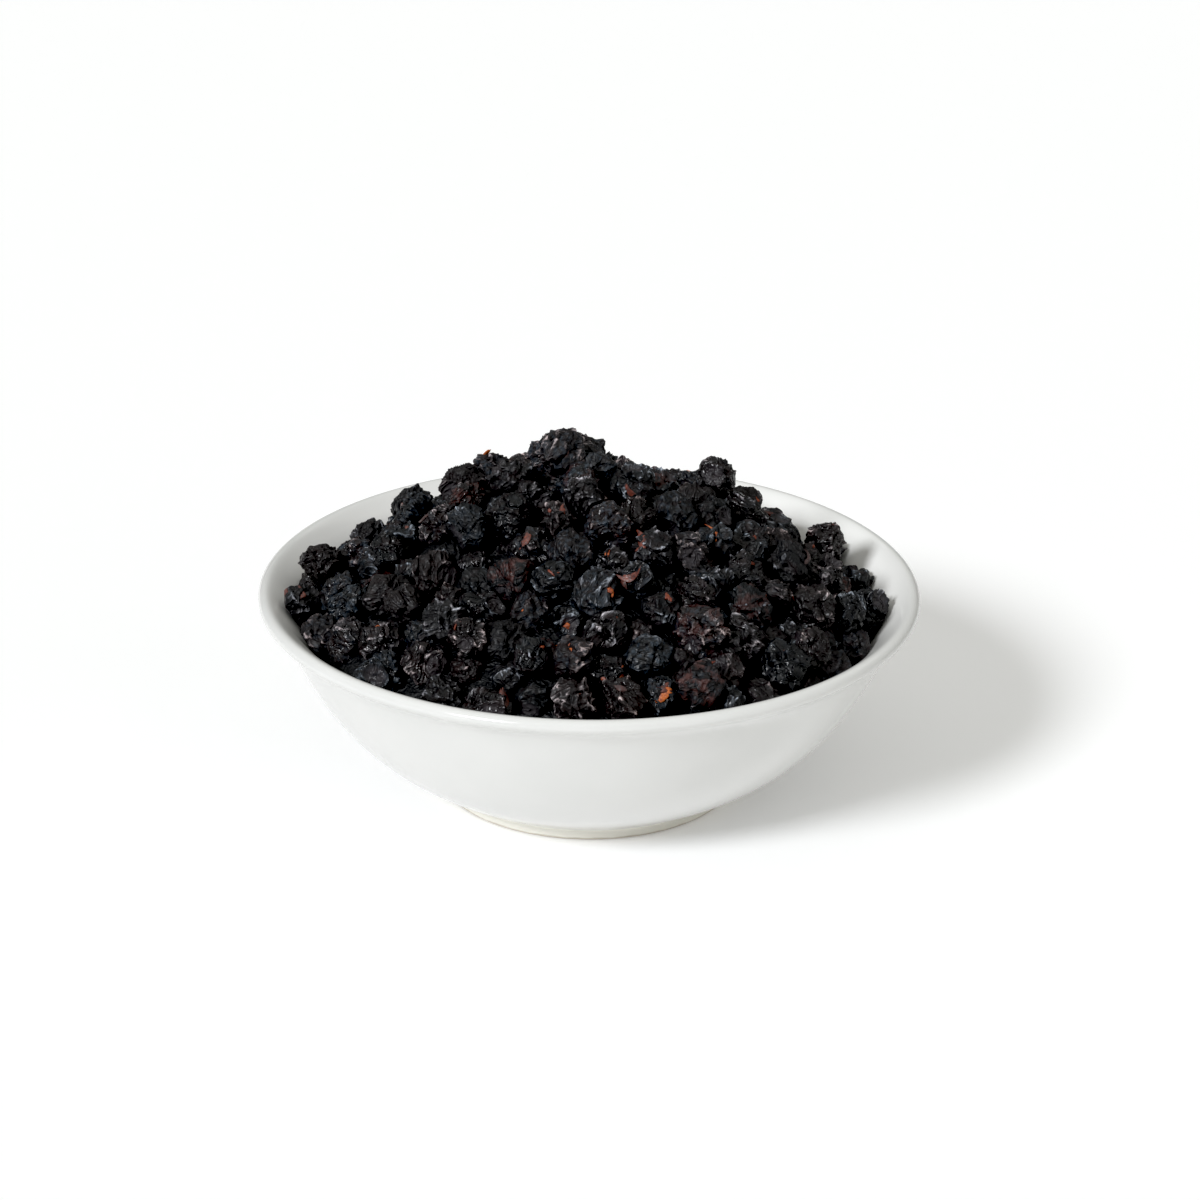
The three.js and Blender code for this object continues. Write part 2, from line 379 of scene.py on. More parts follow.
def bump(values, middle, width):
    """1 at the middle, falling to 0 on both sides."""
    return np.exp(-((values - middle) / width) ** 2)


def step(values, edge, width):
    """0 below the edge and 1 above it, with a smooth change."""
    return 1 / (1 + np.exp(-(values - edge) / width))


def angle_from(ways, axis):
    """The angle between each direction and an axis, in radians."""
    return np.arccos(np.clip(ways @ axis, -1, 1))


def either(random, share, strong, weak):
    """A draw from the strong range in this share of cases, and from the weak one in the others."""
    if random.uniform() < share:
        return random.uniform(*strong)
    return random.uniform(*weak)


# Berries

UP = np.array([0.0, 0.0, 1.0])

# The relief of a berry is in shares of its radius, with angles in radians. Where a value is a pair, a
# number is drawn from that range, and a whole number stays under its end

# Sides that neighbours press flat, dents, and the hollow that some berries have
SIDE_COUNT, SIDE_LIMIT, SIDE_FACING, SIDE_EASE, SIDE_SAG = (3, 7), (0.7, 0.95), 0.05, 0.1, 0.07
DENT_COUNT, DENT_DEPTH, DENT_WIDTH = (1, 4), (0.05, 0.18), (0.3, 0.55)
HOLLOW_SHARE, HOLLOW_DEEP, HOLLOW_SLIGHT, HOLLOW_WIDTH = 0.35, (0.2, 0.42), (0, 0.1), (0.45, 0.75)
SWELL_HEIGHT, SWELL_OUT, SWELL_WIDTH = 0.3, 1.6, 0.25

# The dried crown: its rim with five lobes, its floor, the pit, a groove round it and folds beyond that.
# A bend has its wave number and how far it reaches
CROWN_BEND, CROWN_TWIST, CROWN_FOLD_BEND = (4, 0.03), (3, 0.15), (2.5, 0.8)
CROWN_RIM, CROWN_LOBES, LOBE_TURN = (0.4, 0.58), 5, (0, 6)
EDGE_WIDTH, EDGE_HEIGHT, LOBE_HEIGHT = 0.07, 0.13, 0.1
CROWN_DEPTHS, CROWN_DEPTH_SHARES = (0.07, 0.14, 0.22), (0.35, 0.4, 0.25)
CROWN_FLOOR, CROWN_FLOOR_EASE = 0.88, 0.025
PIT_WIDTH, PIT_HEIGHTS, PIT_SHARES = (0.09, 0.13), (-0.2, 0.07), (0.65, 0.35)
PIT_ON_FLOOR, PIT_ON_EDGE = 0.9, 1.6
GROOVE_DEPTH, GROOVE_OUT, GROOVE_WIDTH = 0.07, 0.2, 0.12
CROWN_FOLDS, CROWN_FOLD_HEIGHT, CROWN_FOLD_OUT, CROWN_FOLD_WIDTH = (4, 8), 0.07, 0.38, 0.26

# The stem's scar: its ring and its pit
SCAR_HEIGHT, SCAR_ANGLE, SCAR_WIDTH = 0.04, 0.24, 0.07
SCAR_DEPTH, SCAR_PIT_WIDTH = 0.12, 0.16

# The wrinkled skin: how its patterns bend, the range of each pattern's number round the berry with its
# width, or with its power for the cells, and the rough patches
FLOW_BEND, CREASE_BEND, WRINKLE_BEND, FINE_BEND = (2.2, 0.12), (3, 0.1), (5, 0.07), (8, 0.04)
FOLDS, WRINKLES, FINE_WRINKLES = ((4, 6), 0.36), ((8, 11), 0.42), ((15, 20), 0.6)
CELLS, CREASES, HOLES = ((12, 22), 1.8), ((3, 4.5), 0.26), ((10, 50), 0.07)
PATCH_NUMBER, PATCH_EDGE, PATCH_EASE = 2.5, (-1.0, 0.5), 0.4
ROUGHNESS = (0.6, 1.3)

# Heights of the skin's patterns, with what wrinkles gain in rough patches, and how much each of them,
# from the cells to the holes, counts as a ridge. Ridges are painted paler, as wear and painted highlight,
# and the creases and holes, which count below 0, stay dark as painted shade
CELL_HEIGHT, CELL_LEVEL, FOLD_HEIGHT, CREASE_DEPTH, HOLE_DEPTH = 0.15, 0.4, 0.18, 0.18, (0, 0.12)
WRINKLE_HEIGHT, WRINKLE_GAIN, FINE_HEIGHT, FINE_GAIN = 0.03, 0.045, 0.01, 0.02
SKIN_LEVEL = 0.08
RIDGE_SHARES = (0.3, 0.5, 0.4, 0.2, -0.5, -0.4)

# How much the crown's floor and edge calm the skin, how much paler its edge is painted, as wear and
# painted highlight, how much paler or darker each berry is painted in the same way, and how many
# millimetres apart their grains are taken
FLOOR_CALM, EDGE_CALM, EDGE_WORN_LIT = 0.75, 0.3, 1.2
OWN_WORN_LIT = (-1.1, 0.4)
GRAIN_APART = 40

# A berry's looks: the share of berries that have it strongly, and its ranges on them and on the others
BERRY_LOOKS = {
    "bloom": (0.3, (0.3, 1), (0, 0.15)),
    "red": (0.09, (0.35, 0.9), (0, 0.1)),
    "shine": (0.6, (0.5, 1), (0, 0.4)),
}


def split_triangle(steps):
    """A triangle cut into steps * steps small ones: its points, as steps along two sides, and its cells."""
    grid = [(i, j) for i in range(steps + 1) for j in range(steps + 1 - i)]
    place = {cell: index for index, cell in enumerate(grid)}
    upright = [(i, j) for i, j in grid if i + j < steps]
    turned_over = [(i, j) for i, j in grid if i + j < steps - 1]
    cells = [(place[i, j], place[i + 1, j], place[i, j + 1]) for i, j in upright]
    cells += [(place[i + 1, j], place[i + 1, j + 1], place[i, j + 1]) for i, j in turned_over]
    return np.array(grid), np.array(cells)


def sphere_mesh(steps):
    """A unit sphere of 20 * steps * steps triangles: its directions and its faces."""
    solid = bmesh.new()
    bmesh.ops.create_icosphere(solid, subdivisions=1, radius=1)
    corners = np.array([[v.co[:] for v in face.verts] for face in solid.faces])
    solid.free()
    grid, cells = split_triangle(steps)
    share = grid / steps
    a, b, c = (corners[:, k][:, None] for k in range(3))
    points = a + (b - a) * share[None, :, :1] + (c - a) * share[None, :, 1:]
    points = points.reshape(-1, 3)
    starts = np.arange(len(corners))[:, None, None] * len(grid)
    faces = (cells[None] + starts).reshape(-1, 3)
    rounded_off = np.round(points, MERGE_DIGITS)
    _, first, back = np.unique(rounded_off, axis=0, return_index=True, return_inverse=True)
    return to_unit(points[first]), back.reshape(-1)[faces]


def pressed(ways, random):
    """Radius of a round berry whose sides its neighbours have pressed in, along each direction."""
    radius = np.ones(len(ways))
    for side in directions(random.integers(*SIDE_COUNT), random):
        limit = random.uniform(*SIDE_LIMIT) / np.maximum(ways @ side, SIDE_FACING)
        gap = np.clip((radius - limit) / SIDE_EASE + 0.5, 0, 1)
        radius = radius * (1 - gap) + limit * gap - SIDE_SAG * gap * (1 - gap)
    for side in directions(random.integers(*DENT_COUNT), random):
        depth = random.uniform(*DENT_DEPTH)
        radius -= depth * bump(angle_from(ways, side), 0, random.uniform(*DENT_WIDTH))
    hollow = either(random, HOLLOW_SHARE, HOLLOW_DEEP, HOLLOW_SLIGHT)
    angle = angle_from(ways, directions(1, random)[0])
    width = random.uniform(*HOLLOW_WIDTH)
    radius -= hollow * bump(angle, 0, width)
    return radius + SWELL_HEIGHT * hollow * bump(angle, SWELL_OUT * width, SWELL_WIDTH)


def crown_relief(ways, random):
    """Height of the dried crown round +Z, with its rim, lobes and pit, and its floor's and rim's places."""
    angle = angle_from(ways, UP) + wobble(ways, CROWN_BEND, random)
    around = np.arctan2(ways[:, 1], ways[:, 0]) + wobble(ways, CROWN_TWIST, random)
    rim = random.uniform(*CROWN_RIM)
    depth = random.choice(CROWN_DEPTHS, p=CROWN_DEPTH_SHARES)
    lobes = 0.5 + 0.5 * np.cos(CROWN_LOBES * around + random.uniform(*LOBE_TURN))
    edge = bump(angle, rim, EDGE_WIDTH)
    pit = bump(angle, 0, random.uniform(*PIT_WIDTH))
    floor = 1 - step(angle, rim * CROWN_FLOOR, CROWN_FLOOR_EASE)
    height = edge * (EDGE_HEIGHT + LOBE_HEIGHT * lobes) - depth * floor
    height += random.choice(PIT_HEIGHTS, p=PIT_SHARES) * pit
    height -= GROOVE_DEPTH * bump(angle, rim + GROOVE_OUT, GROOVE_WIDTH)
    height += crown_folds(ways, angle, around, rim, random)
    return height, floor * (1 - PIT_ON_FLOOR * pit), edge - PIT_ON_EDGE * pit


def crown_folds(ways, angle, around, rim, random):
    """Height of the folds that run out from the crown beyond its rim."""
    folds = np.abs(np.sin(random.integers(*CROWN_FOLDS) * around + wobble(ways, CROWN_FOLD_BEND, random)))
    return CROWN_FOLD_HEIGHT * (1 - folds) * bump(angle, rim + CROWN_FOLD_OUT, CROWN_FOLD_WIDTH)


def stem_relief(ways):
    """Height of the stem's scar round -Z."""
    angle = angle_from(ways, -UP)
    return SCAR_HEIGHT * bump(angle, SCAR_ANGLE, SCAR_WIDTH) - SCAR_DEPTH * bump(angle, 0, SCAR_PIT_WIDTH)


def skin_relief(ways, random):
    """Height of the wrinkled skin, and how near each point lies to the top of a ridge."""
    flow = drawn_out(bent(ways, FLOW_BEND, random), random)
    cells = net(to_unit(flow), CELLS, random)
    folds = ridges(flow, FOLDS, random)
    creases = lines(bent(ways, CREASE_BEND, random), CREASES, random)
    wrinkles = ridges(bent(flow, WRINKLE_BEND, random), WRINKLES, random)
    fine = ridges(bent(ways, FINE_BEND, random), FINE_WRINKLES, random)
    holes = pits(ways, HOLES, random)
    patch = step(waves(ways, PATCH_NUMBER, random), random.uniform(*PATCH_EDGE), PATCH_EASE)
    rough = random.uniform(*ROUGHNESS)
    height = CELL_HEIGHT * (cells - CELL_LEVEL) + FOLD_HEIGHT * folds * rough - CREASE_DEPTH * creases
    small = (WRINKLE_HEIGHT + WRINKLE_GAIN * patch) * wrinkles * rough
    small += (FINE_HEIGHT + FINE_GAIN * patch) * fine * rough
    height += small
    height -= random.uniform(*HOLE_DEPTH) * holes
    patterns = (cells, folds, wrinkles, fine, creases, holes)
    top = sum(share * pattern for share, pattern in zip(RIDGE_SHARES, patterns))
    return height - SKIN_LEVEL, (top - top.mean()) / top.std()


def berry_mesh(berry, index, sphere):
    """Vertices of one berry in millimetres, its directions, its ridge and crown shares, and its grain.

    The grain is each point's place in metres in the berry's own frame, drawn together along one way,
    so that fine patterns laid in it are long that way.
    """
    random = np.random.default_rng(SEED + index)
    out = berry["turn"].T @ mound_way(*berry["centre"][:2])
    ways = to_unit(sphere + CROWDING * out)
    crown, floor, edge = crown_relief(ways, random)
    skin, top = skin_relief(ways, random)
    calm = 1 - FLOOR_CALM * floor - EDGE_CALM * np.maximum(edge, 0)
    radius = pressed(ways, random) + crown + stem_relief(ways) + skin * calm
    local = ways * radius[:, None] * berry["stretch"] * berry["radius"] * SHRUNK
    # The ridge value paints the skin paler on ridges and the crown's edge, as wear and painted highlight,
    # and leaves the creases dark as painted shade
    ridge = top * calm + EDGE_WORN_LIT * edge + random.uniform(*OWN_WORN_LIT)
    grain = (drawn_out(local, random) + GRAIN_APART * random.uniform(size=3)) * MM
    return local @ berry["turn"].T + berry["centre"], ways, ridge, floor, grain


def berry_look(index):
    """A berry's own tone, bloom, redness and shine, each from 0 to 1."""
    random = np.random.default_rng(LOOK_SEED + index)
    look = {"tone": random.uniform()}
    for name, ranges in BERRY_LOOKS.items():
        look[name] = either(random, *ranges)
    return look


# Bits on the heap

# Flecks of flesh in creases and curls of torn skin on ridges: their count, their sphere's steps, the
# side of the skin, how far they sink in, their half sizes, how much they lift and their tone
IN_CREASE, ON_RIDGE = -1, 1
BITS = {
    "blueberries_flesh": {
        "count": 125, "steps": 4, "side": IN_CREASE, "sunk": 0.05,
        "least": (0.4, 0.25, 0.2), "most": (1.6, 0.85, 0.4), "lift": None, "tone": (0.0, 0.95),
    },
    "blueberries_skin_curls": {
        "count": 14, "steps": 6, "side": ON_RIDGE, "sunk": 0.0,
        "least": (0.8, 0.3, 0.1), "most": (1.8, 0.6, 0.16), "lift": (-0.35, 0.3), "tone": (-0.2, 0.3),
    },
}

# Where a bit may lie: the most depth of its berry, how far round the berry from its outer side, how
# clear of other berries, and how close to that place the best ridge or crease is looked for
SPOT_DEPTH, SPOT_SPREAD, SPOT_CLEAR, SPOT_NEAR = 4.5, 0.6, 0.1, 0.95

# The waves of a flake: the number round it and the share of its size, and how many make each field
LUMPS, LUMP_SHARE, RAGS, RAG_SHARE = 3, 0.27, 8, 0.14
BUCKLES, BUCKLE_SHARE = 2, 0.12
OUTLINE_WAVES, BUCKLE_WAVES = 5, 4
FLAKE_BEND = (-0.5, 0.5)


def clear_spot(berries, shapes, side, random):
    """A point on the skin of an outer berry that no other covers, and the way out of it.

    The side says whether it lies on top of a ridge or in a crease.
    """
    centres = np.array([berry["centre"] for berry in berries])
    reaches = np.array([berry["radius"] for berry in berries]) + SPOT_CLEAR
    while True:
        chosen = int(random.integers(len(berries)))
        berry = berries[chosen]
        if berry["depth"] > SPOT_DEPTH:
            continue
        way = mound_way(*berry["centre"][:2]) + SPOT_SPREAD * random.normal(size=3)
        way /= np.linalg.norm(way)
        points = shapes[chosen][0] - berry["centre"]
        outs = to_unit(points)
        near = outs @ way > SPOT_NEAR
        nearest = int(np.argmax(np.where(near, side * shapes[chosen][3]["ridge"], -math.inf)))
        spot = points[nearest] + berry["centre"]
        far = np.linalg.norm(centres - spot, axis=1) - reaches
        far[chosen] = math.inf
        if far.min() > 0:
            return spot, outs[nearest]


def flake(sphere, spot, out, kind, lift, random):
    """An irregular flake that lies on a spot, long one way, with its ends bent out by the lift."""
    size = random.uniform(kind["least"], kind["most"])
    lumps = LUMP_SHARE * waves(sphere, LUMPS, random, OUTLINE_WAVES)
    rags = RAG_SHARE * waves(sphere, RAGS, random, OUTLINE_WAVES)
    shape = sphere * (1 + lumps + rags)[:, None] * size
    along = shape[:, 0] / size[0]
    buckles = BUCKLE_SHARE * size[1] * waves(shape / size[1], BUCKLES, random, BUCKLE_WAVES)
    shape[:, 2] += lift * size[0] * along * along + buckles
    shape[:, 1] += random.uniform(*FLAKE_BEND) * size[0] * along * along
    side = np.cross(out, directions(1, random)[0])
    side /= np.linalg.norm(side)
    return shape @ np.stack([side, np.cross(out, side), out]) + spot


# The bowl's profile

def bezier(points, share):
    """A point on a cubic curve, and the curve's direction there."""
    a, b, c, d = (np.array(point) for point in points)
    rest = 1 - share
    place = a * rest**3 + 3 * b * rest**2 * share + 3 * c * rest * share**2 + d * share**3
    way = (b - a) * rest**2 + 2 * (c - b) * rest * share + (d - c) * share**2
    return place, way / np.linalg.norm(way)


def outside_wall(share):
    """The outside of the wall, from the neck at 0 to the foot at 1."""
    return bezier(WALL_CURVE, share)[0]


def inside_wall(share, gap=0.0):
    """The inside of the wall, from the neck at 0 to the foot at 1."""
    place, way = bezier(WALL_CURVE, share)
    set_in = WALL_AT_NECK + (WALL_AT_FOOT - WALL_AT_NECK) * share + gap
    return place + np.array([way[1], -way[0]]) * set_in


def arc(centre, radius, start, end, steps):
    """Points round an arc, in degrees."""
    angles = np.radians(np.linspace(start, end, steps + 1))
    return [(centre[0] + radius * math.cos(a), centre[1] + radius * math.sin(a)) for a in angles]


def foot_points():
    """The foot ring's profile, from the recess inside it to the wall outside."""
    r = FOOT_ROUNDING
    recess_corner = (FOOT_INNER - RECESS_ROUNDING, RECESS_HEIGHT - RECESS_ROUNDING)
    return [
        (0.0, RECESS_HEIGHT),
        (FOOT_INNER / 2, RECESS_HEIGHT),
        *arc(recess_corner, RECESS_ROUNDING, 90, 0, FOOT_STEPS),
        *arc((FOOT_INNER + r, r), r, 180, 270, FOOT_STEPS),
        *arc((FOOT_RADIUS - r, r), r, 270, 360, FOOT_STEPS),
        (FOOT_RADIUS, FOOT_HEIGHT - FOOT_SHOULDER),
    ]


def bowl_profile():
    """The bowl's section, from the axis below to the axis above."""
    lip = arc((RIM_RADIUS - LIP_RADIUS, LIP_HEIGHT), LIP_RADIUS, LIP_FROM, LIP_TO, LIP_STEPS)
    outside = [outside_wall(share) for share in np.linspace(1, OUTSIDE_TOP, WALL_STEPS)]
    neck = [outside[-1] + (lip[0] - outside[-1]) * k / NECK_STEPS for k in range(1, NECK_STEPS)]
    inside = [inside_wall(share) for share in np.linspace(INSIDE_TOP, 1, WALL_STEPS)]
    base = [(BASE_RADIUS, BASE_HEIGHT), (BASE_RADIUS / 2, BASE_CENTRE + BASE_RISE), (0.0, BASE_CENTRE)]
    body = rounded(outside + neck + lip + inside + base, PROFILE_ROUNDS)
    return np.concatenate([foot_points(), body])


def rounded(profile, rounds):
    """A profile with its corners eased, and its two ends kept."""
    points = np.array(profile)
    for _ in range(rounds):
        middle = (points[:-2] + points[2:]) / 4 + points[1:-1] / 2
        points = np.concatenate([points[:1], middle, points[-1:]])
    return points


def ring_faces(rings, sides):
    """Faces over a lowest point, rings of vertices with this many sides, and a highest point."""
    last = 1 + rings * sides
    top = last - sides
    faces = []
    for k in range(sides):
        after = (k + 1) % sides
        faces.append((0, 1 + after, 1 + k))
        for low in range(1, top, sides):
            high = low + sides
            faces.append((low + k, low + after, high + after, high + k))
        faces.append((last, top + k, top + after))
    return faces


def turned(profile, sides):
    """A profile turned round the Z axis: vertices in millimetres and faces."""
    angles = np.linspace(0, 2 * math.pi, sides, endpoint=False)
    ring = np.stack([np.cos(angles), np.sin(angles)], 1)
    vertices = [[0, 0, profile[0][1]]]
    for radius, height in profile[1:-1]:
        vertices.extend([x, y, height] for x, y in radius * ring)
    vertices.append([0, 0, profile[-1][1]])
    return np.array(vertices), ring_faces(len(profile) - 2, sides)


# Meshes and pieces

def add_object(name, data):
    """A new object in the scene."""
    thing = bpy.data.objects.new(name, data)
    bpy.context.scene.collection.objects.link(thing)
    return thing


def new_piece(name, vertices, faces, material, node):
    """A smooth mesh in metres that rides with the bowl and stands for a node of the frame."""
    mesh = bpy.data.meshes.new(name)
    mesh.from_pydata((vertices * MM).tolist(), [], faces)
    mesh.shade_smooth()
    mesh.materials.append(material)
    mesh.validate()
    piece = add_object(name, mesh)
    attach(piece, "root")
    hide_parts(node)
    return piece


def keep_values(piece, name, values):
    """Keeps a number or a place for each vertex, for the material to read."""
    kind, field = ("FLOAT", "value") if values.ndim == 1 else ("FLOAT_VECTOR", "vector")
    kept = piece.data.attributes.new(name, kind, "POINT")
    kept.data.foreach_set(field, values.astype(np.float32).ravel())


def unfolded(corners):
    """Places in a unit square for the corners of triangles on a sphere, as on an unfolded octahedron."""
    side = np.where(corners.mean(1, keepdims=True) < 0, -1.0, 1.0)
    flat = corners / (corners * side).sum(2, keepdims=True)
    x, y = flat[..., 0], flat[..., 1]
    side_x, side_y, side_z = side[..., 0], side[..., 1], side[..., 2]
    low_x, low_y = side_x * (1 - side_y * y), side_y * (1 - side_x * x)
    place = np.where(side_z[..., None] < 0, np.stack([low_x, low_y], -1), np.stack([x, y], -1))
    return (place + 1) / 2


def keep_map(piece, squares):
    """A map with one square for each berry."""
    wide = math.ceil(math.sqrt(len(squares)))
    places = []
    for index, square in enumerate(squares):
        cell = np.array([index % wide, index // wide])
        places.append((cell + MAP_MARGIN + square.reshape(-1, 2) * (1 - 2 * MAP_MARGIN)) / wide)
    layer = piece.data.uv_layers.new(name=BAKE_MAP)
    layer.data.foreach_set("uv", np.concatenate(places).astype(np.float32).ravel())


def cavity_radius(heights):
    """Radius of the bowl's inside, less a small gap, at each height."""
    shares = np.linspace(1, CAVITY_TOP, CAVITY_STEPS)
    wall = np.array([inside_wall(share, WALL_GAP) for share in shares])
    radius, height = np.append(wall[:, 0], wall[-1, 0]), np.append(wall[:, 1], CAVITY_CEILING)
    return np.interp(heights, height, radius)


def kept_inside(vertices, top):
    """Vertices kept inside the bowl's wall, over its floor and under the heap's top."""
    inside = vertices.copy()
    inside[:, 2] = np.clip(inside[:, 2], BASE_HEIGHT + WALL_GAP, top)
    out = np.hypot(inside[:, 0], inside[:, 1])
    limit = cavity_radius(inside[:, 2])
    inside[:, :2] *= np.minimum(1, limit / np.maximum(out, TINY))[:, None]
    return inside


def join_forms(name, forms, material, top):
    """One piece of many small forms. Each comes as points, directions, triangles and its named values."""
    vertices, faces, squares = [], [], []
    values = {key: [] for key in forms[0][3]}
    count = 0
    for points, ways, triangles, own in forms:
        vertices.append(kept_inside(points, top))
        faces.append(triangles + count)
        squares.append(unfolded(ways[triangles]))
        count += len(points)
        for key, value in own.items():
            values[key].append(np.broadcast_to(value, (len(points), *np.shape(value)[1:])))
    vertices, faces = np.concatenate(vertices), np.concatenate(faces).tolist()
    piece = new_piece(name, vertices, faces, material, "blueberries")
    for key, value in values.items():
        keep_values(piece, key, np.concatenate(value))
    keep_map(piece, squares)


def make_core(material, top):
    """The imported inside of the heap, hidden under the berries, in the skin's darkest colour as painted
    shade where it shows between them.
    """
    radii = np.linspace(0, CORE_RADIUS, CORE_RINGS + 1)
    profile = [(radius, BASE_HEIGHT + CORE_RISE) for radius in [*radii, *radii[::-1]]]
    vertices, faces = turned(profile, CORE_SIDES)
    for vertex in vertices[len(vertices) // 2:]:
        vertex[2] = mound_top(*vertex[:2]) - CORE_DEPTH
    inside = kept_inside(vertices, top)
    core = new_piece("blueberries_core", inside, faces, material, "blueberries")
    keep_values(core, "grain", inside * MM)
    # Painted shade: the ridge value keeps the core in the skin's darkest colour
    keep_values(core, "ridge", np.full(len(inside), CORE_SHADE_RIDGE))


# Materials

# A noise has a size in millimetres, a detail and a roughness. A range has the values that it is read
# from and to and, where they aren't 0 and 1, the shares that it gives there. Patches have both

# Dried skin: bluer and browner berries, their ridges painted paler as wear and painted highlight, dust, red
# stains and the crown's floor
SKIN_BLUE, SKIN_BROWN = (0.0022, 0.0026, 0.0036, 1), (0.007, 0.0045, 0.005, 1)
WORN_LIT_BLUE, WORN_LIT_BROWN = (0.44, 0.5, 0.58, 1), (0.67, 0.54, 0.53, 1)
DUST, RED_STAIN, CROWN_BROWN = (0.035, 0.046, 0.06, 1), (0.09, 0.038, 0.034, 1), (0.052, 0.046, 0.051, 1)
MOTTLE_NOISE, PORE_NOISE = (2.2, 4.0, 0.6), (0.45, 3.0, 0.6)
BROKEN_RANGE = (0.35, 0.65, 0.55, 1.0)
GRAIN_PATCHES = (0.35, 3.0, 0.6), BROKEN_RANGE
DUST_PATCHES, STAIN_PATCHES = ((1.1, 5.0, 0.65), (0.46, 0.66)), ((2.4, 4.0, 0.65), (0.46, 0.66))
GLOSS_PATCHES = (0.9, 3.0), (0.38, 0.58)
TONE_SHARE, MOTTLE_SHARE, KIND_RANGE = 0.7, 0.6, (0.35, 1.05)
# How the skin's paler colour, wear and painted highlight, follows the ridge value, the painted shade where
# berries touch and the crests; then its gain and power
RIDGE_RANGE, SHADE_RANGE, CREST_RANGE = (-0.1, 2.7), (0.0, 1.0, 0.1, 1.0), (0.7, 1.5, 0.15, 1.0)
WORN_LIT_GAIN, WORN_LIT_POWER, CROWN_SHARE = 1.9, 1.9, 0.6
SHINE_RANGE, GLOSS_ROUGHNESS = (0.0, 1.0, 0.3, 1.0), (0.0, 1.0, 0.58, 0.2)
CREST_SIZE, CREST_RELIEF, CREST_STRENGTH = 1.1, 0.2, 0.9
CREST_NOISE = {"Detail": 2.0, "Roughness": 0.5, "Offset": 1.0, "Gain": 1.0, "Distortion": 0.7}
PORE_RELIEF, PORE_STRENGTH = 0.1, (0.1, 0.9, 0.8, 0.3)
SKIN_SPECULAR = 0.4

# Dried flesh, from brown over red to orange
FLESH_BROWN, FLESH_RED = (0.05, 0.028, 0.027, 1), (0.2, 0.05, 0.03, 1)
FLESH_ORANGE = (0.5, 0.13, 0.03, 1)
FLESH_NOISE, FLESH_SHARE, RED_RANGE, ORANGE_RANGE = (0.5, 4.0, 0.65), 1.6, (0.75, 1.4), (1.4, 1.85)
FLESH_GLOSS_PATCHES = (0.4,), (0.35, 0.65, 0.65, 0.3)
FLESH_GRAIN_NOISE, FLESH_RELIEF, FLESH_STRENGTH = (0.3, 4.0), 0.12, 0.8

# Porcelain: its cloudy glaze, the paler colour inside and the paler, warmer one down at the foot, both
# painted light, and the bare edge with its height
GLAZE_DARK, GLAZE_LIGHT = (0.705, 0.706, 0.688, 1), (0.725, 0.724, 0.706, 1)
INSIDE_PAINTED_LIGHT, FOOT_PAINTED_LIGHT = (0.89, 0.886, 0.865, 1), (0.88, 0.86, 0.78, 1)
BARE_CLAY = (0.6, 0.55, 0.47, 1)
CLOUD_PATCHES = (18.0, 2.0), (0.35, 0.65)
RAGGED_NOISE, RAGGED_HEIGHT, BARE_RANGE, FOOT_RANGE = (3.0, 3.0), 0.5, (0.55, 0.85), (2.4, 3.4)
SHEEN_PATCHES, BARE_ROUGHNESS = ((7.0, 3.0), (0.3, 0.7, 0.1, 0.17)), 0.7
GLAZE_WAVE_NOISE, WAVE_RELIEF, WAVE_STRENGTH = (14.0, 1.0), 0.25, 0.12


def new_material(name):
    """A material, its node tree and its shader."""
    material = bpy.data.materials.new(name)
    material.use_nodes = True
    return material, material.node_tree, material.node_tree.nodes["Principled BSDF"]


def set_inputs(tree, node, inputs):
    """Sets a node's inputs, which are values or other nodes' outputs."""
    for name, value in inputs.items():
        if isinstance(value, bpy.types.NodeSocket):
            tree.links.new(value, node.inputs[name])
        else:
            node.inputs[name].default_value = value


def add_node(tree, kind, inputs, **settings):
    """A shader node with its settings and its inputs."""
    node = tree.nodes.new(kind)
    for name, value in settings.items():
        setattr(node, name, value)
    set_inputs(tree, node, inputs)
    return node


def attribute(tree, name, output="Fac"):
    """A value or a place that the mesh keeps for each vertex."""
    return add_node(tree, "ShaderNodeAttribute", {}, attribute_name=name).outputs[output]


def calculate(tree, operation, a, b, clamp=False):
    """Two values put together by an operation."""
    return add_node(tree, "ShaderNodeMath", {0: a, 1: b}, operation=operation, use_clamp=clamp).outputs[0]


def times(tree, a, b):
    """The product of two values."""
    return calculate(tree, "MULTIPLY", a, b)


def ranged(tree, value, low, high, start=0.0, end=1.0):
    """A value's place between low and high, taken smoothly from start to end."""
    inputs = {"Value": value, "From Min": low, "From Max": high, "To Min": start, "To Max": end}
    return add_node(tree, "ShaderNodeMapRange", inputs, interpolation_type="SMOOTHSTEP").outputs[0]


def blended(tree, share, a, b):
    """A mix of two colours, which the node takes as its inputs 6 and 7."""
    inputs = {0: share, 6: a, 7: b}
    return add_node(tree, "ShaderNodeMix", inputs, data_type="RGBA").outputs[2]


def noise(tree, place, size, detail=3.0, roughness=0.5):
    """Soft noise with features of about this size in millimetres."""
    inputs = {"Vector": place, "Scale": 1 / (size * MM), "Detail": detail, "Roughness": roughness}
    return add_node(tree, "ShaderNodeTexNoise", inputs).outputs["Fac"]


def patches(tree, place, grain, edges):
    """A noise, read over a range."""
    return ranged(tree, noise(tree, place, *grain), *edges)


def crest_noise(tree, place):
    """Noise with sharp crests, mostly from 0.4 to 1.5."""
    inputs = {"Vector": place, "Scale": 1 / (CREST_SIZE * MM), **CREST_NOISE}
    settings = {"noise_type": "RIDGED_MULTIFRACTAL", "normalize": False}
    return add_node(tree, "ShaderNodeTexNoise", inputs, **settings).outputs["Fac"]


def raised(tree, height, distance, strength, under=None):
    """A normal for a relief of this many millimetres for each 1 of height, over another normal."""
    inputs = {"Height": height, "Distance": distance * MM, "Strength": strength}
    if under is not None:
        inputs["Normal"] = under
    return add_node(tree, "ShaderNodeBump", inputs).outputs[0]


def own_place(tree):
    """A point's place in the piece's own frame, in metres."""
    return add_node(tree, "ShaderNodeTexCoord", {}).outputs["Object"]


